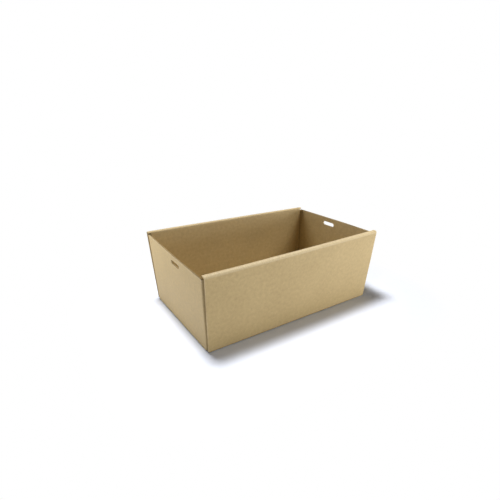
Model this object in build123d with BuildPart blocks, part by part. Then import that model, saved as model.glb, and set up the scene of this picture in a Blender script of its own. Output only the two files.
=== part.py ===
"""A catering tray folded from one die-cut blank of thin corrugated board.

The base lies flat. Two end walls fold up from it as single sheets, and their side edges turn
the corners as tabs. Two long walls fold up, roll over at the top and come down again inside,
so that each long wall is double and traps two tabs. The inner panels lock into the base.
The origin is the middle of the underside, X runs along the tray and Z is up.
"""

from build123d import *
from math import cos, radians, sin, tan
import os

# Overall form, in millimetres and degrees
base_length = 205.0  # between the end walls' outer faces, at the table
base_width = 120.0  # between the long walls' outer faces, at the table
height = 80.0  # from the table to the inner edge of the rolled rims
end_lean = 3.0  # outward lean of the end walls
side_lean = 3.7  # outward lean of the long walls

# The board and its creases
board = 1.5  # thickness of the sheet
crease_inside = 0.4  # inner radius of every fold

# How the sheet's edges stand to one another
tab_play = 0.4  # free space on each side of a corner tab, inside a double wall
end_drop = 3.0  # the end walls' top edges stand this far below the rims
side_edge_inset = 0.2  # a long wall's cut side edge, inside the end wall's outer face
inner_edge_gap = 2.0  # an inner panel's side edge, clear of the end wall's inner face
foot_gap = 0.4  # an inner panel's lower edge and the tabs' feet, clear of what is under them

# Corner tabs
tab_length = 42.0  # from the corner fold to the tab's free edge
tab_corner = 9.0  # the cut across each free corner of a tab

# Locks at the feet of the inner panels
lock_width = 26.0
lock_spacing = 98.0  # between the middles of the two locks of one long wall
lock_lift = 0.2  # a lock ends this far above the underside of the base
lock_play = 0.2  # free space round a lock in its slot

# Slots for the lid's tongues, one in each end wall
slot_length = 18.0
slot_height = 4.5
slot_drop = 7.5  # from the end wall's top edge down to the middle of the slot
slot_offset = 8.5  # from the middle of the end wall, to opposite hands at the two ends

# Sizes that follow
crease_outside = crease_inside + board
end_top = height - end_drop
end_cos = cos(radians(end_lean))
end_sin = sin(radians(end_lean))
side_cos = cos(radians(side_lean))
side_sin = sin(radians(side_lean))
top_length = base_length + 2 * height * tan(radians(end_lean))
top_width = base_width + 2 * height * tan(radians(side_lean))
double_wall = 3 * board + 2 * tab_play
rim_turn = 90  # the rim is square to the wall's two panels, so its outer edge lies a little lower
rim_rise = double_wall * side_sin
rim_rounding = crease_outside * (side_cos + side_sin - 1)
wall_slope = (height - rim_rise + rim_rounding) / side_cos  # up the outer face, to the rim's face


def setback(turn):
    """Length that a fold of this turn takes from each of its two panels, on the outer face."""
    return crease_outside * tan(radians(turn) / 2)


# Outer faces of the end wall at +X and of the long wall at +Y, each normal pointing outwards
end_face = Plane(origin=(base_length / 2, 0, 0), x_dir=(0, 1, 0), z_dir=(end_cos, 0, -end_sin))
side_face = Plane(origin=(0, base_width / 2, 0), x_dir=(-1, 0, 0), z_dir=(0, side_cos, -side_sin))

# A fold that stands a wall up from the base turns by less than a right angle, as the wall leans
end_fold_turn = 90 - end_lean
side_fold_turn = 90 - side_lean
base_half_length = base_length / 2 - setback(end_fold_turn)
base_half_width = base_width / 2 - setback(side_fold_turn)

# The corner fold runs up the line where the end wall's outer face meets the tab's outer face
tab_depth = board + tab_play
corner_foot = Vector(base_length / 2, base_width / 2 - tab_depth / side_cos, 0)
corner_line = end_face.z_dir.cross(side_face.z_dir).normalized()
corner_turn = end_face.z_dir.get_angle(side_face.z_dir)
corner_section = Plane(origin=corner_foot, x_dir=corner_line.cross(end_face.z_dir), z_dir=corner_line)
corner_start = Plane(
    origin=corner_foot - corner_section.x_dir * setback(corner_turn),
    z_dir=corner_section.x_dir,
)
corner_base = crease_outside + foot_gap

# The inner panel's face on the inside of the tray, with its lower edge at panel_foot
panel_face = Plane(
    origin=(0, base_width / 2 - double_wall / side_cos, 0),
    x_dir=(1, 0, 0),
    z_dir=(0, -side_cos, side_sin),
)
panel_foot = (board + foot_gap) / side_cos
panel_top = wall_slope + double_wall * tan(radians(side_lean)) - setback(rim_turn)
lock_slot_y = base_width / 2 - (double_wall - board / 2) / side_cos + board / 2 * tan(radians(side_lean))
lock_slot_width = board / side_cos + board * tan(radians(side_lean)) + 2 * lock_play

# One quarter of the base, from the middle of the tray to the two folds
with BuildPart() as base_panel:
    with BuildSketch():
        Rectangle(base_half_length, base_half_width, align=Align.MIN)
        with Locations((lock_spacing / 2, lock_slot_y)):
            Rectangle(lock_width + 2 * lock_play, lock_slot_width, mode=Mode.SUBTRACT)
    extrude(amount=board)

# Half of a long wall: the fold up, the outer panel, and the rim's two folds that roll it over
with BuildPart() as long_wall:
    with BuildSketch(Plane.YZ):
        with BuildLine():
            foot_fold = JernArc((base_half_width, 0), (1, 0), crease_outside, side_fold_turn)
            outer_length = wall_slope - setback(side_fold_turn) - setback(rim_turn)
            outer_panel = PolarLine(foot_fold @ 1, outer_length, direction=foot_fold % 1)
            rim_fold = JernArc(outer_panel @ 1, outer_panel % 1, crease_outside, rim_turn)
            rim_length = double_wall - 2 * setback(rim_turn)
            rim = PolarLine(rim_fold @ 1, rim_length, direction=rim_fold % 1)
            JernArc(rim @ 1, rim % 1, crease_outside, rim_turn)
            offset(amount=board, side=Side.LEFT)
        make_face()
    extrude(amount=top_length / 2)
    split(bisect_by=end_face.offset(-side_edge_inset), keep=Keep.BOTTOM)

# Half of the inner panel that hangs from the rim, with the lock that goes through the base
with BuildPart() as inner_panel:
    with BuildSketch(panel_face):
        with Locations((0, panel_foot)):
            Rectangle(top_length / 2, panel_top - panel_foot, align=Align.MIN)
        with Locations((lock_spacing / 2, panel_foot)):
            Rectangle(lock_width, panel_foot - lock_lift / side_cos, align=(Align.CENTER, Align.MAX))
    extrude(amount=-board)
    split(bisect_by=end_face.offset(-board - inner_edge_gap), keep=Keep.BOTTOM)

# Half of an end wall: the fold up and one flat sheet, cut level at the top
with BuildPart() as end_wall:
    with BuildSketch(Plane.XZ):
        with BuildLine():
            end_fold = JernArc((base_half_length, 0), (1, 0), crease_outside, end_fold_turn)
            PolarLine(end_fold @ 1, height, direction=end_fold % 1)
            offset(amount=board, side=Side.LEFT)
        make_face()
    extrude(amount=-top_width / 2)
    split(bisect_by=corner_start, keep=Keep.BOTTOM)
    split(bisect_by=Plane.XY.offset(end_top), keep=Keep.BOTTOM)

# The corner fold and its tab, which lies between the two panels of the long wall
with BuildPart() as corner_tab:
    with BuildSketch(corner_section):
        with BuildLine():
            corner_fold = JernArc((-setback(corner_turn), 0), (1, 0), crease_outside, corner_turn)
            PolarLine(corner_fold @ 1, tab_length, direction=corner_fold % 1)
            offset(amount=board, side=Side.LEFT)
        make_face()
    extrude(amount=height, both=True)
    split(bisect_by=Plane.XY.offset(end_top), keep=Keep.BOTTOM)
    split(bisect_by=Plane.XY.offset(corner_base), keep=Keep.TOP)
    free_edge = corner_tab.faces().sort_by(Axis.X)[0]
    chamfer(free_edge.edges().sort_by(SortBy.LENGTH)[:2], length=tab_corner)

# The tool that punches a slot through an end wall
with BuildPart() as slot_punch:
    with BuildSketch(end_face):
        with Locations((slot_offset, end_top / end_cos - slot_drop)):
            SlotOverall(slot_length, slot_height)
    extrude(amount=2 * board, both=True)

# The whole sheet: four like quarters in one piece, then the two slots
with BuildPart() as tray:
    add(base_panel.part)
    add(long_wall.part)
    add(inner_panel.part)
    add(end_wall.part)
    add(corner_tab.part)
    mirror(about=Plane.XZ)
    mirror(about=Plane.YZ)
    with PolarLocations(0, 2):
        add(slot_punch.part, mode=Mode.SUBTRACT)

tray.part.label = "tray"
os.makedirs("parts", exist_ok=True)
export_step(tray.part, "parts/tray.step")
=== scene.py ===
"""A folded kraft tray on a white floor.

The blank is cut flat, with its two skins, its raw edges and its fluted middle. It is then folded
up and bent slightly out of true, as a tray set up by hand is. The near end is the one at -X and
the front wall the one at -Y, as the camera sees them. Lengths are in millimetres up to the point
where the tray's mesh is made, and in metres from there on.
"""

from math import acos, ceil, cos, pi, radians, sin, sqrt, tan

import bmesh
import bpy
from mathutils import Matrix, Vector, noise
from mathutils.geometry import delaunay_2d_cdt


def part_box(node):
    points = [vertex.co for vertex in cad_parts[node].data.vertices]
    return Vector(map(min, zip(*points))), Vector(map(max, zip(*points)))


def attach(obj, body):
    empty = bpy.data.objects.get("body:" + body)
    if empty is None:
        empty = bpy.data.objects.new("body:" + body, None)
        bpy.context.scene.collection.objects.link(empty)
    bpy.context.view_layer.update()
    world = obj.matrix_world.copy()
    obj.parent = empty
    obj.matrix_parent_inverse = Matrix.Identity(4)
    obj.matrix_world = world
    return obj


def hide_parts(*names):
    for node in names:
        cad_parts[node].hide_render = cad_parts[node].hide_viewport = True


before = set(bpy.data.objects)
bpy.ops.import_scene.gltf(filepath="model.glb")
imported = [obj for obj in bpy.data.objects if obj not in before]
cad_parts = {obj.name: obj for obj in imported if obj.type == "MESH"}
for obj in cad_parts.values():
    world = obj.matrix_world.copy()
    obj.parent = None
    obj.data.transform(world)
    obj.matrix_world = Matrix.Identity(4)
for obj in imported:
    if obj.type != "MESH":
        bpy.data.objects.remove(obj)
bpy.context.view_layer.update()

MM = 0.001

# The folded form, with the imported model's values except where a comment says otherwise
END_LEAN = radians(3.0)
SIDE_LEAN = radians(3.7)
BOARD = 1.5
FOLD_RADIUS = 1.9
TAB_PLAY = 0.4
END_DROP = 3.4  # 0.4 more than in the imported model, as in the photo
SIDE_EDGE_INSET = 0.2
INNER_EDGE_GAP = 2.0
FOOT_GAP = 0.4
TAB_LENGTH = 42.0
TAB_CORNER = 9.0
LOCK_WIDTH = 26.0
LOCK_SPACING = 98.0
LOCK_LIFT = 0.2
LOCK_PLAY = 0.2
SLOT_LENGTH = 18.0
SLOT_HEIGHT = 4.5
SLOT_DROP = 7.5
SLOT_OFFSET = 8.5

# What the board is made of
LINER = 0.22  # thickness of each outer layer
MEDIUM = 0.16  # and of the fluted middle's own sheet
FLUTE_PITCH = 3.3
FLUTE_DEPTH = 1.2  # how far into a raw edge the open flutes are modelled
FLUTE_RECESS = 0.08  # the fluted middle starts this far back from the liners' cut edges
FLUTE_STOP = 0.1  # and ends this far before the end of the open flutes
FLUTE_CLEAR = 0.02  # between the fluted middle and each liner
WAVE_STEP = 0.3
OPEN_SHARE = 0.5  # flutes are open at an edge where this share of its run or more goes across them

# How finely the blank is divided
CELL = 8.0
FOLD_STEPS = 6
FOLD_MARGIN = 1.5  # a line beside each fold, which keeps its shading narrow
EDGE_BAND = 1.2  # a strip along each cut edge, which is pressed thin by the die
ARC_STEPS = 8  # in each round end of a slot
OVERSHOOT = 1.0  # the dividing lines end this far outside an outline's box
LEAST_MITRE = 1.0  # least squared length of two sides' normals added, which keeps sharp mitres short
CELLS_WITHOUT_HOLES = 5  # the kind of output that delaunay_2d_cdt gives
CELL_EPSILON = 1e-4
ON_LINE = 0.01  # a point this near to a line lies on it
SAME_POINT = 0.004  # points nearer than this are one
JUST_PAST = 0.001  # the run past the rim in which a long wall's cut edge steps back

# Pressing and wear of the skins, with a highlight painted as paler wear on the front rim
PRESSED = 0.09  # the die presses each skin in by this much at a cut edge
WEAR_CUT, WEAR_AND_HIGHLIGHT_BACK, WEAR_AND_HIGHLIGHT_FRONT = 1.0, 0.1, 0.8  # how far cut edges and the two rims are rubbed open; on the front rim this is mostly a painted highlight, kept faint on the back rim
RIM_MARGIN = 0.1  # a rim's wear and painted highlight take in the points this far past its folds
SKIN_SPREAD = 12  # depth counts this many times in the materials, so that the two skins differ

# How the tray stands out of true
TWIST = 1.3  # two opposite rim corners stand this far above the rim's mean height, two below
BOW_NEAR, BOW_FAR, BOW_BACK, BOW_FRONT = 0.83, 0.47, 0.75, 1.07  # how far walls' top corners stand in
SKEW_BACK, SKEW_FRONT = 0.75, 0.4  # the long walls' tops stand this far to one side of their feet
SHORT_BACK, SHORT_FRONT = 1.6, 0.9  # a long wall's cut edge at one end stands back by this at its top
INNER_SHORT = 0.5  # and its inner panel's by no more than this
PRESS_BACK, PRESS_FRONT = 0.5, 0.6  # the rims are pressed down by this at their outer creases
PRESS_REACH = 25.0  # which reaches this far down the walls
FAR_FRONT_IN = 2.0  # the far end's front top corner stands in by this much more
FOOT_IN_NEAR, FOOT_IN_FAR = 1.8, 2.2  # the end walls' feet are drawn in, the far one at its front
WAVER = 0.12  # the walls waver in and out by no more than this
WAVER_SIZE = 45.0
WAVER_RISE = 20.0  # the waver grows from the table up to this height

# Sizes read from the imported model's box, and sizes that follow
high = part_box("tray")[1]
HEIGHT = high.z / MM
END_TOP = HEIGHT - END_DROP
DOUBLE_WALL = 3 * BOARD + 2 * TAB_PLAY
ROUNDING = FOLD_RADIUS * (cos(SIDE_LEAN) + sin(SIDE_LEAN) - 1)  # what a rim fold takes off the height
WALL_SLOPE = (HEIGHT - DOUBLE_WALL * sin(SIDE_LEAN) + ROUNDING) / cos(SIDE_LEAN)
HALF_LENGTH = high.x / MM - END_TOP * tan(END_LEAN)
HALF_WIDTH = high.y / MM - WALL_SLOPE * sin(SIDE_LEAN) + ROUNDING
TOP_HALF_LENGTH = HALF_LENGTH + HEIGHT * tan(END_LEAN)
TOP_HALF_WIDTH = HALF_WIDTH + HEIGHT * tan(SIDE_LEAN)
INNER_CREASE = TOP_HALF_WIDTH - DOUBLE_WALL

# Turns of the folds
END_TURN = pi / 2 - END_LEAN
SIDE_TURN = pi / 2 - SIDE_LEAN
RIM_TURN = pi / 2


def setback(turn):
    """Length that a fold takes from each of its two panels, on the outer face."""
    return FOLD_RADIUS * tan(turn / 2)


def fold(turn):
    """A fold as one leg of a profile: its length at the middle of the board, and its turn."""
    return (FOLD_RADIUS - BOARD / 2) * turn, turn


def straight(length):
    """A flat panel as one leg of a profile."""
    return length, 0.0


def heading_at(angle):
    return Vector((cos(angle), sin(angle)))


def left_at(angle):
    return Vector((-sin(angle), cos(angle)))


class Profile:
    """The board's outer face in section: straight runs and folds to the left, laid end to end."""

    def __init__(self, start, *legs):
        self.legs = []
        at, angle, run = Vector(start), 0.0, 0.0
        for length, turn in legs:
            self.legs.append((run, length, turn, at, angle))
            run += length
            at, angle = self.step(at, angle, length, length, turn)
        self.length = run

    @staticmethod
    def step(at, angle, part, length, turn):
        """The point and heading reached after a part of one leg."""
        if not turn:
            return at + part * heading_at(angle), angle
        bent = angle + turn * part / length
        return at + FOLD_RADIUS * (left_at(angle) - left_at(bent)), bent

    def at(self, run, depth):
        """The point at a run along the board and a depth below its outer face."""
        start, length, turn, at, angle = [leg for leg in self.legs if leg[0] <= max(run, 0.0)][-1]
        if run < 0:
            return at + run * heading_at(angle) + depth * left_at(angle)
        at, angle = self.step(at, angle, run - start, length, turn)
        return at + depth * left_at(angle)

    def stations(self):
        """Runs at which the folds are divided, with a line beside each fold."""
        runs = []
        for start, length, turn, _, _ in self.legs:
            if turn:
                runs += [start + length * i / FOLD_STEPS for i in range(FOLD_STEPS + 1)]
                runs += [start - FOLD_MARGIN, start + length + FOLD_MARGIN]
        return sorted(run for run in runs if 0 < run < self.length)


# The flat middle of the base, and the two profiles that rise from it
FLAT_X = HALF_LENGTH - setback(END_TURN)
FLAT_Y = HALF_WIDTH - setback(SIDE_TURN)
OUTER_RUN = WALL_SLOPE - setback(SIDE_TURN) - setback(RIM_TURN)
RIM_RUN = DOUBLE_WALL - 2 * setback(RIM_TURN)
PANEL_FOOT = (BOARD + FOOT_GAP) / cos(SIDE_LEAN)
INNER_RUN = WALL_SLOPE + DOUBLE_WALL * tan(SIDE_LEAN) - setback(RIM_TURN) - PANEL_FOOT
LOCK_RUN = (BOARD + FOOT_GAP - LOCK_LIFT) / cos(SIDE_LEAN)
side_profile = Profile(
    (FLAT_Y, 0),
    fold(SIDE_TURN),
    straight(OUTER_RUN),
    fold(RIM_TURN),
    straight(RIM_RUN),
    fold(RIM_TURN),
    straight(INNER_RUN + LOCK_RUN),
)
RIM_START, RIM_END = side_profile.legs[2][0], side_profile.legs[5][0]  # where its two folds start and end
END_RUN = END_TOP / cos(END_LEAN) - setback(END_TURN)
end_profile = Profile((FLAT_X, 0), fold(END_TURN), straight(END_RUN))
END_ZERO = FLAT_X + fold(END_TURN)[0] - setback(END_TURN)  # on the blank, where the end wall's slope starts

# The corner fold runs up the line where the end wall's outer face meets the tab's outer face
end_normal = Vector((cos(END_LEAN), 0, -sin(END_LEAN)))
end_slope = Vector((sin(END_LEAN), 0, cos(END_LEAN)))
side_normal = Vector((0, cos(SIDE_LEAN), -sin(SIDE_LEAN)))
corner_line = end_normal.cross(side_normal).normalized()
corner_out = corner_line.cross(end_normal)
CORNER_TURN = acos(end_normal.dot(side_normal))
corner_foot = Vector((HALF_LENGTH, HALF_WIDTH - (BOARD + TAB_PLAY) / cos(SIDE_LEAN), 0))
corner_start = corner_foot - setback(CORNER_TURN) * corner_out
tab_profile = Profile((0, 0), fold(CORNER_TURN), straight(TAB_LENGTH))

# The same line and its square on the blank
line_flat = Vector((corner_line.dot(end_slope), corner_line.y))
out_flat = Vector((corner_out.dot(end_slope), corner_out.y))
start_rise = (corner_start - Vector((HALF_LENGTH, 0, 0))).dot(end_slope)
start_flat = Vector((END_ZERO + start_rise, corner_start.y))


def place_base(u, v, depth):
    """The base, which lies where it is on the blank."""
    return Vector((u, v, depth))


def place_side(skew):
    """A placing for a long wall whose top stands to one side of its foot."""
    def placed(u, v, depth):
        y, z = side_profile.at(v - FLAT_Y, depth)
        return Vector((u - skew * max(0, z - BOARD) / HEIGHT, y, z))
    return placed


def place_end(u, v, depth):
    """The end wall, and past its corner folds the tabs."""
    from_start = Vector((u, abs(v))) - start_flat
    run = from_start.dot(out_flat)
    if run <= 0:
        x, z = end_profile.at(u - FLAT_X, depth)
        return Vector((x, v, z))
    out, inward = tab_profile.at(run, depth)
    point = corner_start + from_start.dot(line_flat) * corner_line + out * corner_out - inward * end_normal
    return point if v > 0 else Vector((point.x, -point.y, point.z))


def on_tab(height, out):
    """The blank's point on a tab at a height above the table and a run past the corner fold's start."""
    sideways, inward = tab_profile.at(out, 0)
    rise = corner_start.z + sideways * corner_out.z - inward * end_normal.z
    return start_flat + (height - rise) / corner_line.z * line_flat + out * out_flat


def corner_v(u):
    """The blank's place across the tray of the corner fold's start."""
    return start_flat.y + (u - start_flat.x) * line_flat.y / line_flat.x


def side_end(run, short=0.0):
    """Half the length of a long wall at a run up its profile: its cut edge follows the end wall."""
    foot = fold(SIDE_TURN)[0]
    height = side_profile.at(run, 0).y
    if run <= RIM_END:
        back = SIDE_EDGE_INSET + short * height / HEIGHT
    else:
        back = BOARD + INNER_EDGE_GAP + min(short, INNER_SHORT)
    end = HALF_LENGTH + height * tan(END_LEAN) - back / cos(END_LEAN)
    return FLAT_X + (end - FLAT_X) * min(1, run / foot)


def rim_wear_and_highlight(point):
    """How worn the liner is at a point of the blank, with a highlight painted as paler wear on the front
    rim; not worn at all off the rolled rims.
    """
    on_rim = RIM_START - RIM_MARGIN < abs(point.y) - FLAT_Y < RIM_END + RIM_MARGIN
    return on_rim * (WEAR_AND_HIGHLIGHT_BACK if point.y > 0 else WEAR_AND_HIGHLIGHT_FRONT)


def lined(outline, spots, index):
    """Straight lines across an outline's box at some places of one axis."""
    other = 1 - index
    start = min(p[other] for p in outline) - OVERSHOOT
    stop = max(p[other] for p in outline) + OVERSHOOT
    low_spot, high_spot = min(p[index] for p in outline), max(p[index] for p in outline)
    for spot in spots:
        if low_spot < spot < high_spot:
            yield tuple((spot, at) if index == 0 else (at, spot) for at in (start, stop))


def inset(loop, distance):
    """A closed outline moved to its left by a distance, with mitred corners."""
    moved = []
    for before, at, after in zip(loop[-1:] + loop[:-1], loop, loop[1:] + loop[:1]):
        first = (Vector(at) - Vector(before)).normalized()
        second = (Vector(after) - Vector(at)).normalized()
        mitre = Vector((-first.y - second.y, first.x + second.x))
        moved.append(Vector(at) + mitre * distance * 2 / max(mitre.length_squared, LEAST_MITRE))
    return moved


def touches(point, segment):
    """Whether a point lies on a straight segment."""
    start, stop = Vector(segment[0]), Vector(segment[1])
    along = stop - start
    part = min(1, max(0, (point - start).dot(along) / along.length_squared))
    return (start + part * along - point).length < ON_LINE


def counterclockwise(points, face):
    """A face's corners in counterclockwise order."""
    corners = [points[k] for k in face]
    area = sum(a.x * b.y - a.y * b.x for a, b in zip(corners, corners[1:] + corners[:1]))
    return list(face) if area > 0 else list(reversed(face))


def divide(outline, holes, joints, lines):
    """Cells of a flat region of the blank: points, faces, and the cut edges with the way into the board."""
    points = [Vector(p) for p in outline]
    loops = [list(range(len(points)))]
    for hole in holes:
        loops.append(list(range(len(points), len(points) + len(hole))))
        points += [Vector(p) for p in hole]
    edges = []
    for start, stop in lines:
        edges.append((len(points), len(points) + 1))
        points += [Vector(start), Vector(stop)]
    for loop, way in [(outline, 1)] + [(hole, -1) for hole in holes]:
        band = inset(list(loop), way * EDGE_BAND)
        first = len(points)
        edges += [(first + i, first + (i + 1) % len(band)) for i in range(len(band))]
        points += band
    points, _, faces, _, _, inside = delaunay_2d_cdt(
        points, edges, loops, CELLS_WITHOUT_HOLES, CELL_EPSILON, True
    )
    kept = [counterclockwise(points, face) for face, owners in zip(faces, inside) if list(owners) == [0]]
    uses = {}
    for face in kept:
        for pair in zip(face, face[1:] + face[:1]):
            uses[frozenset(pair)] = uses.get(frozenset(pair), 0) + 1
    cuts = []
    for face in kept:
        for i, j in zip(face, face[1:] + face[:1]):
            middle = (points[i] + points[j]) / 2
            if uses[frozenset((i, j))] == 1 and not any(touches(middle, joint) for joint in joints):
                cuts.append((i, j, 1 if points[i].y > points[j].y else -1))
    return points, kept, cuts


# The sheet's materials, in the order of its slots: both skins, cut edges and the inside of open flutes
SKIN, RAW, INSIDE = range(3)


class Sheet:
    """The folded board, gathered region by region from the blank."""

    def __init__(self):
        self.mesh = bmesh.new()
        self.blank = self.mesh.verts.layers.float_vector.new("blank")
        self.wear_and_highlight = self.mesh.verts.layers.float.new("wear_and_highlight")

    def point(self, place, u, v, depth, wear_and_highlight=0.0):
        """A point of the mesh, which keeps its place on the blank and its wear, with the front rim's
        painted highlight, for the materials.
        """
        face, back = place(u, v, 0), place(u, v, BOARD)
        grown = min(1.0, max(0.0, face.z / WAVER_RISE))
        shift = WAVER * grown * noise.noise(Vector((u, v, 0)) / WAVER_SIZE)
        vert = self.mesh.verts.new(place(u, v, depth) + (face - back) / BOARD * shift)
        vert[self.blank] = Vector((u, v, depth * SKIN_SPREAD)) * MM
        vert[self.wear_and_highlight] = wear_and_highlight
        return vert

    def face(self, verts, material):
        self.mesh.faces.new(verts).material_index = material

    def add(self, place, points, faces, cuts):
        """Two skins over a region, closed along its cut edges."""
        edge_points = {k for i, j, _ in cuts for k in (i, j)}
        used = sorted({k for face in faces for k in face})
        wear_and_highlight = {k: WEAR_CUT if k in edge_points else rim_wear_and_highlight(points[k]) for k in used}
        skins = []
        for pressed, depth in ((PRESSED, 0.0), (-PRESSED, BOARD)):
            skins.append({
                k: self.point(place, *points[k], depth + pressed * (k in edge_points), wear_and_highlight[k])
                for k in used
            })
        for face in faces:
            self.face([skins[0][k] for k in reversed(face)], SKIN)
            self.face([skins[1][k] for k in face], SKIN)
        liners = [{}, {}]
        for k in edge_points:
            for liner, depth in zip(liners, (PRESSED + LINER, BOARD - PRESSED - LINER)):
                liner[k] = self.point(place, *points[k], depth, WEAR_CUT)
        pockets = {}
        for i, j, way in cuts:
            self.close(place, points, i, j, way, skins, liners, pockets)

    def close(self, place, points, i, j, way, skins, liners, pockets):
        """One cut edge: plain where it runs with the flutes, and open into them where it crosses them."""
        for skin, liner in zip(skins, liners):
            self.face([skin[i], skin[j], liner[j], liner[i]], RAW)
        along = points[j] - points[i]
        if abs(along.y) < OPEN_SHARE * along.length:
            self.face([liners[0][i], liners[0][j], liners[1][j], liners[1][i]], RAW)
            return
        for k in (i, j):
            if (k, way) not in pockets:
                u, v = points[k]
                pockets[k, way] = [
                    self.point(place, u + way * FLUTE_DEPTH, v, depth) for depth in (LINER, BOARD - LINER)
                ]
        deep_i, deep_j = pockets[i, way], pockets[j, way]
        self.face([liners[0][i], liners[0][j], deep_j[0], deep_i[0]], INSIDE)
        self.face([deep_i[0], deep_j[0], deep_j[1], deep_i[1]], INSIDE)
        self.face([deep_i[1], deep_j[1], liners[1][j], liners[1][i]], INSIDE)
        self.flute(place, points[i], points[j], way)

    def flute(self, place, start, stop, way):
        """The waving middle of the board along one open edge."""
        steps = max(1, ceil(abs(stop.y - start.y) / WAVE_STEP))
        high_wave = (BOARD - 2 * LINER - MEDIUM) / 2 - FLUTE_CLEAR
        pressed_wave = high_wave - PRESSED
        rows = []
        for step in range(steps + 1):
            u, v = start + (stop - start) * step / steps
            turn = 2 * pi * v / FLUTE_PITCH
            slope = high_wave * 2 * pi / FLUTE_PITCH * cos(turn)
            half = MEDIUM / 2 * sqrt(1 + slope * slope)
            row = []
            for inward, wave in ((FLUTE_RECESS, pressed_wave), (FLUTE_DEPTH - FLUTE_STOP, high_wave)):
                middle = BOARD / 2 + wave * sin(turn)
                for depth in (middle - half, middle + half):
                    row.append(self.point(place, u + way * inward, v, depth, WEAR_CUT))
            rows.append([row[0], row[1], row[3], row[2]])
        for now, then in zip(rows, rows[1:]):
            for a, b in ((0, 1), (1, 2), (2, 3), (3, 0)):
                self.face([now[a], now[b], then[b], then[a]], RAW)

    def finish(self):
        """Joins the regions, closes the ends of the open edges and bends the tray out of true."""
        bmesh.ops.remove_doubles(self.mesh, verts=self.mesh.verts[:], dist=SAME_POINT)
        gaps = [edge for edge in self.mesh.edges if edge.is_boundary]
        ends = bmesh.ops.holes_fill(self.mesh, edges=gaps, sides=4)["faces"]
        for face in ends:
            face.material_index = RAW
        bmesh.ops.recalc_face_normals(self.mesh, faces=self.mesh.faces[:])
        for vert in self.mesh.verts:
            vert.co = out_of_true(vert.co) * MM
        mesh = bpy.data.meshes.new("folded_tray")
        self.mesh.to_mesh(mesh)
        self.mesh.free()
        return mesh


def pressed_down(point):
    """How far a point near a rim is pressed down, which is most at the rim's outer crease."""
    near_top = max(0.0, 1 - (HEIGHT - point.z) / PRESS_REACH)
    across = (abs(point.y) - INNER_CREASE) / DOUBLE_WALL
    press = PRESS_BACK if point.y > 0 else PRESS_FRONT
    return press * min(1.0, max(0.0, across)) * near_top ** 2


def out_of_true(point):
    """A point moved as the rim twists, the top corners stand in and the end walls' feet are drawn in."""
    x, y, rise = point.x / TOP_HALF_LENGTH, point.y / TOP_HALF_WIDTH, point.z / HEIGHT
    bow_x = BOW_FAR if x > 0 else BOW_NEAR
    if x > 0 and y < 0:
        bow_x += FAR_FRONT_IN
    bow_y = BOW_BACK if y > 0 else BOW_FRONT
    foot_in = FOOT_IN_FAR * (1 - y) / 2 if x > 0 else FOOT_IN_NEAR
    return Vector((
        point.x - bow_x * x * y * y * rise - foot_in * x * (1 - rise),
        point.y - bow_y * y * x * x * rise,
        point.z - TWIST * (1 + x * y) * rise - pressed_down(point),
    ))


def turned(place, half_turn):
    """A placing for one half of the tray, carried to the other half by half a turn."""
    if not half_turn:
        return place

    def placed(u, v, depth):
        point = place(-u, -v, depth)
        return Vector((-point.x, -point.y, point.z))
    return placed


def carried(points, half_turn, flipped):
    """The blank's points of a quarter for another quarter, in counterclockwise order again."""
    turn = -1 if half_turn else 1
    flip = -1 if flipped else 1
    moved = [(turn * u, turn * flip * v) for u, v in points]
    return moved[::-1] if flipped else moved


def spaced(limit):
    """Places of the dividing lines on one axis of the blank, out to a limit."""
    count = int(limit / CELL)
    return [CELL * i for i in range(-count, count + 1)]


def lock_outline(sign):
    """A lock of the inner panel, in order along its foot, as runs up the side profile."""
    foot, end = side_profile.length - LOCK_RUN, side_profile.length
    middle, half = sign * LOCK_SPACING / 2, LOCK_WIDTH / 2
    corners = [(middle + half, foot), (middle + half, end), (middle - half, end), (middle - half, foot)]
    return [(u, FLAT_Y + run) for u, run in corners]


def side_outline(short):
    """A long wall with its locks, whose right end stands back by this much more at the top."""
    foot = side_profile.length - LOCK_RUN
    stations = [run for run in side_profile.stations() if run < foot]
    runs = sorted([0, *stations, RIM_END + JUST_PAST, foot])
    right = [(side_end(run, short), FLAT_Y + run) for run in runs]
    left = [(-side_end(run), FLAT_Y + run) for run in reversed(runs)]
    return right + lock_outline(1) + lock_outline(-1) + left


def lock_slots():
    """Slots in the base that the locks of both long walls go into."""
    middle = HALF_WIDTH - (DOUBLE_WALL - BOARD / 2) / cos(SIDE_LEAN) + BOARD / 2 * tan(SIDE_LEAN)
    half_width = (BOARD / cos(SIDE_LEAN) + BOARD * tan(SIDE_LEAN)) / 2 + LOCK_PLAY
    half_length = LOCK_WIDTH / 2 + LOCK_PLAY
    corners = (-1, -1), (1, -1), (1, 1), (-1, 1)
    for across in (-middle, middle):
        for along in (-LOCK_SPACING / 2, LOCK_SPACING / 2):
            yield [(along + i * half_length, across + j * half_width) for i, j in corners]


def lid_slot():
    """The round-ended slot of an end wall."""
    u = END_ZERO + END_TOP / cos(END_LEAN) - SLOT_DROP
    radius, reach = SLOT_HEIGHT / 2, (SLOT_LENGTH - SLOT_HEIGHT) / 2
    points = []
    for side in (1, -1):
        for step in range(ARC_STEPS + 1):
            turn = pi * step / ARC_STEPS
            v = SLOT_OFFSET + side * (reach + radius * sin(turn))
            points.append((u + side * radius * cos(turn), v))
    return points


def end_outline():
    """An end wall between its corner folds, and the line where it joins its right tab."""
    tab_foot = on_tab(FOLD_RADIUS + FOOT_GAP, 0)
    top = on_tab(END_TOP, 0)
    right = [(FLAT_X, corner_v(FLAT_X)), tuple(tab_foot), tuple(top)]
    return [(u, -v) for u, v in right] + right[::-1], (tuple(tab_foot), tuple(top))


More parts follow.
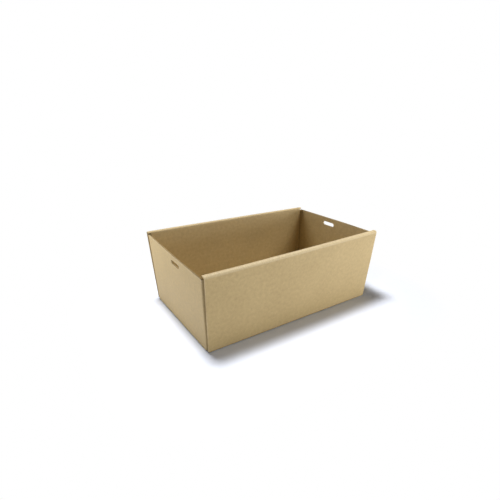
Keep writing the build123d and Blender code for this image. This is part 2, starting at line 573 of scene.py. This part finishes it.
def tab_outline():
    """An end wall's right tab with its corner fold, and with its two free corners cut off."""
    foot, reach = FOLD_RADIUS + FOOT_GAP, tab_profile.length
    base = [on_tab(foot, 0), on_tab(foot, reach), on_tab(END_TOP, reach), on_tab(END_TOP, 0)]
    return [
        tuple(base[0]),
        tuple(base[3]),
        tuple(base[2] + (base[3] - base[2]).normalized() * TAB_CORNER),
        tuple(base[2] + (base[1] - base[2]).normalized() * TAB_CORNER),
        tuple(base[1] + (base[2] - base[1]).normalized() * TAB_CORNER),
        tuple(base[1] + (base[0] - base[1]).normalized() * TAB_CORNER),
    ]


def build_tray():
    """The tray's mesh, in metres: the base, and at each half turn an end wall, a long wall and two tabs."""
    sheet = Sheet()
    grid_u = spaced(FLAT_X + END_RUN)
    grid_v = spaced(FLAT_Y + side_profile.length)

    def add(
        place, outline, holes=(), joints=(),
        extra_u=(), extra_v=(), lines=(), half_turn=False, flipped=False,
    ):
        """Divides one region along the grid and its own lines, and adds it to the sheet."""
        turn = -1 if half_turn else 1
        loop = carried(outline, half_turn, flipped)
        every = list(lined(loop, grid_u + [turn * u for u in extra_u], 0))
        every += lined(loop, grid_v + [turn * v for v in extra_v], 1)
        every += [carried(line, half_turn, flipped) for line in lines]
        parts = divide(
            loop,
            [carried(hole, half_turn, flipped) for hole in holes],
            [carried(joint, half_turn, flipped) for joint in joints],
            every,
        )
        sheet.add(turned(place, half_turn), *parts)

    corner = corner_v(FLAT_X)
    base = [(FLAT_X, -FLAT_Y), (FLAT_X, -corner), (FLAT_X, corner), (FLAT_X, FLAT_Y)]
    base += [(-u, -v) for u, v in base]
    end_joint = ((FLAT_X, -corner), (FLAT_X, corner))
    side_joint = ((-FLAT_X, FLAT_Y), (FLAT_X, FLAT_Y))
    both = [carried(joint, half, False) for joint in (end_joint, side_joint) for half in (False, True)]
    add(place_base, base, holes=list(lock_slots()), joints=both)

    wall, tab_joint = end_outline()
    mirrored = carried(tab_joint, False, True)
    end_lines = [FLAT_X + run for run in end_profile.stations()]
    side_lines = [FLAT_Y + run for run in side_profile.stations()]
    tab = tab_outline()
    tab_lines = [(on_tab(0, run), on_tab(HEIGHT, run)) for run in tab_profile.stations()]
    wall_joints = [end_joint, tab_joint, mirrored]
    for half, skew, short in ((False, SKEW_BACK, SHORT_BACK), (True, SKEW_FRONT, SHORT_FRONT)):
        add(place_end, wall, holes=[lid_slot()], joints=wall_joints, extra_u=end_lines, half_turn=half)
        add(place_side(skew), side_outline(short), joints=[side_joint], extra_v=side_lines, half_turn=half)
        for flipped in (False, True):
            add(place_end, tab, joints=[tab_joint], lines=tab_lines, half_turn=half, flipped=flipped)
    return sheet.finish()


# Colours of the board
KRAFT_DARK = (0.40, 0.29, 0.130, 1)
KRAFT_LIGHT = (0.56, 0.423, 0.207, 1)
RAW_DARK = (0.37, 0.275, 0.14, 1)
RAW_LIGHT = (0.60, 0.47, 0.27, 1)
DARK_FLECK = (0.27, 0.18, 0.09, 1)
PALE_FLECK = (0.80, 0.68, 0.46, 1)
# paler liner where worn: real rubbing at cut edges and rims, and a painted highlight on the front rim
RUBBED_AND_HIGHLIGHT = (0.74, 0.62, 0.41, 1)

# Patterns: how many of their marks lie in a metre, and how far each moves the tone from dark to light
CLOUDS, CLOUD_TONE = 22.0, 0.6
MOTTLE, MOTTLE_TONE = 300.0, 1.1
FIBRES, FIBRE_TONE = (1700.0, 300.0, 900.0), 0.7
FUZZ, FUZZ_TONE = 1900.0, 1.2
TONE = 0.2  # where the clouds are darkest
NOISE_SPAN = (0.3, 0.7)  # nearly all of a pattern's values lie between these

# Flecks: how far they reach in their cells, which cells of 0 to 1 have one, and how strong they are
FLECKS = 520.0
FLECK_CORE, FLECK_RIM = 0.10, 0.22
DARK_FROM, PALE_TO = 0.82, 0.12
DARK_STRENGTH, PALE_STRENGTH = 0.35, 0.30

# Worn fibres and the painted rim highlight, relief and gloss
RUB_AND_HIGHLIGHT_SPAN, RUB_AND_HIGHLIGHT_SHARE = (0.35, 0.7), (0.1, 0.6)  # over this span of the fibres, this share of wear and painted rim highlight shows
RIDGE_RELIEF, FIBRE_RELIEF, MOTTLE_RELIEF = 0.12, 0.5, 0.5
LINER_ROUGH, RAW_ROUGH, FLOOR_ROUGH = (0.50, 0.62), (0.82, 0.95), (0.9, 1.0)
SHARP_ANGLE = radians(35)  # edges that turn by more than this are shaded as sharp


class Shader:
    """Short calls for a material's nodes."""

    def __init__(self, name):
        self.material = bpy.data.materials.new(name)
        self.material.use_nodes = True
        self.tree = self.material.node_tree
        self.surface = self.tree.nodes["Principled BSDF"]

    def node(self, kind, inputs=(), **settings):
        made = self.tree.nodes.new("ShaderNode" + kind)
        for name, value in settings.items():
            setattr(made, name, value)
        for key, value in dict(inputs).items():
            self.feed(made.inputs[key], value)
        return made

    def feed(self, socket, value):
        if isinstance(value, bpy.types.NodeSocket):
            self.tree.links.new(value, socket)
        else:
            socket.default_value = value

    def dress(self, sockets):
        """Sets or links sockets of the surface by their names."""
        for name, value in sockets.items():
            self.feed(self.surface.inputs[name], value)

    def attribute(self, name, output):
        return self.node("Attribute", attribute_name=name).outputs[output]

    def math(self, operation, first, second=0.0, third=0.0):
        made = self.node("Math", {0: first, 1: second, 2: third}, operation=operation)
        return made.outputs[0]

    def vector_math(self, operation, first, second=(0, 0, 0), output="Vector"):
        return self.node("VectorMath", {0: first, 1: second}, operation=operation).outputs[output]

    def toned(self, tone, pattern, amount):
        """A tone moved up and down by a pattern whose mean is a half."""
        return self.math("MULTIPLY_ADD", self.math("SUBTRACT", pattern, 0.5), amount, tone)

    def spread(self, value, low_in, high_in, low_out, high_out):
        """A value carried from one range to another, and held at the ends of the second."""
        ends = {"From Min": low_in, "From Max": high_in, "To Min": low_out, "To Max": high_out}
        return self.node("MapRange", {"Value": value, **ends}).outputs["Result"]

    def noise(self, place, scale, detail=2.0, rough=0.5):
        inputs = {"Vector": place, "Scale": scale, "Detail": detail, "Roughness": rough}
        return self.node("TexNoise", inputs).outputs["Fac"]

    def stretch(self, place, scale):
        return self.node("Mapping", {"Vector": place, "Scale": scale}).outputs["Vector"]

    def mix(self, factor, first, second):
        """A mix of two colours, by the colour sockets of the Mix node."""
        made = self.node("Mix", data_type="RGBA")
        self.feed(made.inputs[0], factor)
        self.feed(made.inputs[6], first)
        self.feed(made.inputs[7], second)
        return made.outputs[2]


def flecked(shader, place, colour):
    """A colour with dark and pale flecks, each in the middle of a cell that is chosen by chance."""
    cells = shader.node("TexVoronoi", {"Vector": place, "Scale": FLECKS, "Randomness": 1.0})
    fleck = shader.spread(cells.outputs["Distance"], FLECK_CORE, FLECK_RIM, 1.0, 0.0)
    chance = shader.node("SeparateColor", {"Color": cells.outputs["Color"]}).outputs[0]
    dark = shader.math("MULTIPLY", fleck, shader.math("GREATER_THAN", chance, DARK_FROM))
    pale = shader.math("MULTIPLY", fleck, shader.math("LESS_THAN", chance, PALE_TO))
    colour = shader.mix(shader.math("MULTIPLY", dark, DARK_STRENGTH), colour, DARK_FLECK)
    return shader.mix(shader.math("MULTIPLY", pale, PALE_STRENGTH), colour, PALE_FLECK)


def kraft_skin():
    """Brown kraft liner: clouded, streaked with fibres, flecked, and rubbed paler at rims and edges, where
    the front rim's paleness is mostly a painted highlight.
    """
    shader = Shader("kraft_liner")
    place = shader.attribute("blank", "Vector")
    wear_and_highlight = shader.attribute("wear_and_highlight", "Fac")
    clouds = shader.noise(place, CLOUDS, detail=3.0)
    mottle = shader.noise(place, MOTTLE, detail=3.0)
    fibres = shader.noise(shader.stretch(place, FIBRES), 1.0, detail=3.0, rough=0.65)
    tone = shader.math("MULTIPLY_ADD", clouds, CLOUD_TONE, TONE)
    tone = shader.toned(tone, mottle, MOTTLE_TONE)
    tone = shader.toned(tone, fibres, FIBRE_TONE)
    colour = flecked(shader, place, shader.mix(tone, KRAFT_DARK, KRAFT_LIGHT))
    # paler where worn, and on the front rim a painted highlight
    rubbed_and_highlight = shader.math("MULTIPLY", wear_and_highlight, shader.spread(fibres, *RUB_AND_HIGHLIGHT_SPAN, *RUB_AND_HIGHLIGHT_SHARE))
    across = shader.node("SeparateXYZ", {"Vector": place}).outputs["Y"]
    ridges = shader.math("SINE", shader.math("MULTIPLY", across, 2 * pi / (FLUTE_PITCH * MM)))
    relief = shader.math("MULTIPLY", fibres, FIBRE_RELIEF)
    relief = shader.math("MULTIPLY_ADD", ridges, RIDGE_RELIEF, relief)
    relief = shader.math("MULTIPLY_ADD", mottle, MOTTLE_RELIEF, relief)
    bump = shader.node("Bump", {"Height": relief, "Distance": 0.00012, "Strength": 0.5})
    shader.dress({
        "Base Color": shader.mix(rubbed_and_highlight, colour, RUBBED_AND_HIGHLIGHT),
        "Roughness": shader.spread(mottle, *NOISE_SPAN, *LINER_ROUGH),
        "Specular IOR Level": 0.5,
        "Normal": bump.outputs["Normal"],
    })
    return shader.material


def kraft_raw(name, dark, light):
    """Torn fibres of the cut edges and of the fluted middle."""
    shader = Shader(name)
    place = shader.attribute("blank", "Vector")
    fuzz = shader.noise(place, FUZZ, detail=3.0, rough=0.6)
    mottle = shader.noise(place, MOTTLE)
    bump = shader.node("Bump", {"Height": fuzz, "Distance": 0.0002, "Strength": 0.7})
    shader.dress({
        "Base Color": shader.mix(shader.toned(mottle, fuzz, FUZZ_TONE), dark, light),
        "Roughness": shader.spread(mottle, *NOISE_SPAN, *RAW_ROUGH),
        "Specular IOR Level": 0.2,
        "Normal": bump.outputs["Normal"],
    })
    return shader.material


def make_tray():
    mesh = build_tray()
    mesh.materials.append(kraft_skin())
    mesh.materials.append(kraft_raw("kraft_cut_edge", RAW_DARK, RAW_LIGHT))
    mesh.materials.append(kraft_raw("kraft_flute", KRAFT_DARK, KRAFT_LIGHT))
    mesh.shade_smooth()
    mesh.set_sharp_from_angle(angle=SHARP_ANGLE)
    tray = bpy.data.objects.new("folded_tray", mesh)
    bpy.context.scene.collection.objects.link(tray)
    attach(tray, "root")
    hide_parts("tray")


# The floor, and its distances out from the tray's foot
WHITE = (1, 1, 1, 1)
FLOOR_SIZE = 6.0
FLOOR_GRAIN = 900.0  # marks in a metre
FLOOR_SEEN = (0.82, 0.86, 0.96, 1)  # a little blue, against the brown light that the tray throws on it
FLOOR_BOUNCE = (0.53, 0.53, 0.53, 1)  # the light it throws back on the tray is that of a grey board
FLOOR_CONTACT_SHADE = (0.10, 0.10, 0.10, 1)  # near the foot it throws back the light of a dark board, which paints contact shade on the tray's lower walls and feet
CONTACT_SHADE_REACH = 0.035  # how far out that painted contact shade reaches
FADE_FROM, FADE_TO = 0.03, 0.09  # between these the floor fades into plain white

WORLD_STRENGTH = 0.08  # the faint light from all round
# The floor has lamps of its own, as a backdrop has in a studio, and the others light the tray alone.
# Lamps: azimuth and elevation in degrees, distance and size in metres, light on a surface that faces it
FLOOR_LAMPS = {
    "floor_light": (136, 80, 1.0, 0.22, 1.2),
    "floor_left": (210, 28, 1.0, 0.15, 0.15),
}
TRAY_LAMPS = {
    "key_above": (25, 66, 1.2, 0.3, 0.91),
    "high_left": (150, 35, 0.35, 0.1, 0.33),
    "low_left": (160, 5, 0.8, 0.2, 0.31),
    "high_right": (300, 35, 0.8, 0.25, 0.3),
    "low_right": (306, 6, 0.6, 0.2, 0.59),
}


def seen_directly(shader):
    """One for rays that come straight from the camera or off a glossy or clear surface."""
    path = shader.node("LightPath")
    total = shader.math("ADD", path.outputs["Is Camera Ray"], path.outputs["Is Glossy Ray"])
    total = shader.math("ADD", total, path.outputs["Is Transmission Ray"])
    return shader.math("MINIMUM", total, 1.0)


def outside_foot(shader, position):
    """How far a point of the floor lies outside the tray's foot."""
    foot = (HALF_LENGTH * MM, HALF_WIDTH * MM, 1.0)  # so high that the floor is never outside it upwards
    beyond = shader.vector_math("SUBTRACT", shader.vector_math("ABSOLUTE", position), foot)
    return shader.vector_math("LENGTH", shader.vector_math("MAXIMUM", beyond), output="Value")


def make_floor():
    """White board that takes the shadow near the tray and fades into plain white further out, and that
    throws back little light near the foot as painted contact shade.
    """
    shader = Shader("white_floor")
    direct = seen_directly(shader)
    position = shader.node("NewGeometry").outputs["Position"]
    grain = shader.noise(position, FLOOR_GRAIN)
    outside = outside_foot(shader, position)
    # the light thrown back on the tray is darker close to its foot: painted contact shade
    bounce_and_contact_shade = shader.mix(shader.spread(outside, 0.0, CONTACT_SHADE_REACH, 0.0, 1.0), FLOOR_CONTACT_SHADE, FLOOR_BOUNCE)
    shader.dress({
        "Base Color": shader.mix(direct, bounce_and_contact_shade, FLOOR_SEEN),
        "Roughness": shader.spread(grain, *NOISE_SPAN, *FLOOR_ROUGH),
        "Specular IOR Level": 0.1,
    })
    far = shader.spread(outside, FADE_FROM, FADE_TO, 0.0, 1.0)
    white = shader.node("Emission", {"Color": WHITE, "Strength": 1.0}).outputs[0]
    share = shader.math("MULTIPLY", far, direct)
    mixed = shader.node("MixShader", {0: share, 1: shader.surface.outputs[0], 2: white})
    shader.tree.links.new(mixed.outputs[0], shader.tree.nodes["Material Output"].inputs["Surface"])
    half = FLOOR_SIZE / 2
    corners = [(-half, -half, 0), (half, -half, 0), (half, half, 0), (-half, half, 0)]
    mesh = bpy.data.meshes.new("floor")
    mesh.from_pydata(corners, [], [(0, 1, 2, 3)])
    mesh.materials.append(shader.material)
    floor = bpy.data.objects.new("floor", mesh)
    bpy.context.scene.collection.objects.link(floor)


def make_world():
    """Plain white behind the floor, which gives the scene only a faint light."""
    world = bpy.data.worlds.new("studio")
    bpy.context.scene.world = world
    world.use_nodes = True
    nodes, links = world.node_tree.nodes, world.node_tree.links
    path = nodes.new("ShaderNodeLightPath")
    strength = nodes.new("ShaderNodeMapRange")
    links.new(path.outputs["Is Camera Ray"], strength.inputs["Value"])
    strength.inputs["To Min"].default_value = WORLD_STRENGTH
    strength.inputs["To Max"].default_value = 1.0
    background = nodes["Background"]
    background.inputs["Color"].default_value = WHITE
    links.new(strength.outputs["Result"], background.inputs["Strength"])


def aimed(back):
    """Axes of a lamp or camera that looks against the direction back."""
    right = Vector((0, 0, 1)).cross(back).normalized()
    return Matrix((right, back.cross(right), back)).transposed()


def direction(azimuth, elevation):
    return Vector((cos(elevation) * cos(azimuth), cos(elevation) * sin(azimuth), sin(elevation)))


def area_light(name, azimuth, elevation, distance, size, level):
    """A square lamp that lights the tray to this level, where a level of one shows white as white."""
    back = direction(radians(azimuth), radians(elevation))
    data = bpy.data.lights.new(name, "AREA")
    data.shape = "SQUARE"
    data.size = size
    data.energy = level * (pi * distance) ** 2
    lamp = bpy.data.objects.new(name, data)
    place = aimed(back).to_4x4()
    place.translation = distance * back
    lamp.matrix_world = place
    lamp.visible_camera = False
    bpy.context.scene.collection.objects.link(lamp)
    return lamp


def light_only(name, lamps):
    """Lamps that light one object alone, though the others still shade it."""
    lit = bpy.data.collections.new("lit_" + name)
    lit.objects.link(bpy.data.objects[name])
    for lamp, settings in lamps.items():
        area_light(lamp, *settings).light_linking.receiver_collection = lit


def make_lights():
    make_world()
    light_only("floor", FLOOR_LAMPS)
    light_only("folded_tray", TRAY_LAMPS)


# The camera, fitted to the tray's edges in the photo
PHOTO_PX = 500
SENSOR_MM = 36.0
FOCAL_PX = 373.7
YAW, PITCH, ROLL = radians(-33.86), radians(21.43), radians(0.76)
AIM = Vector((0.01595, 0.05012, 0.03753))
DISTANCE = 0.46181
CLIP_START = 0.01


def make_camera():
    back = direction(YAW - pi / 2, PITCH)
    axes = aimed(back) @ Matrix.Rotation(ROLL, 3, "Z")
    data = bpy.data.cameras.new("camera")
    data.sensor_width = SENSOR_MM
    data.lens = FOCAL_PX / PHOTO_PX * SENSOR_MM
    data.clip_start = CLIP_START
    camera = bpy.data.objects.new("camera", data)
    place = axes.to_4x4()
    place.translation = AIM + DISTANCE * back
    camera.matrix_world = place
    bpy.context.scene.collection.objects.link(camera)
    bpy.context.scene.camera = camera


make_camera()
make_tray()
make_floor()
make_lights()
bpy.context.scene.view_settings.view_transform = "Standard"
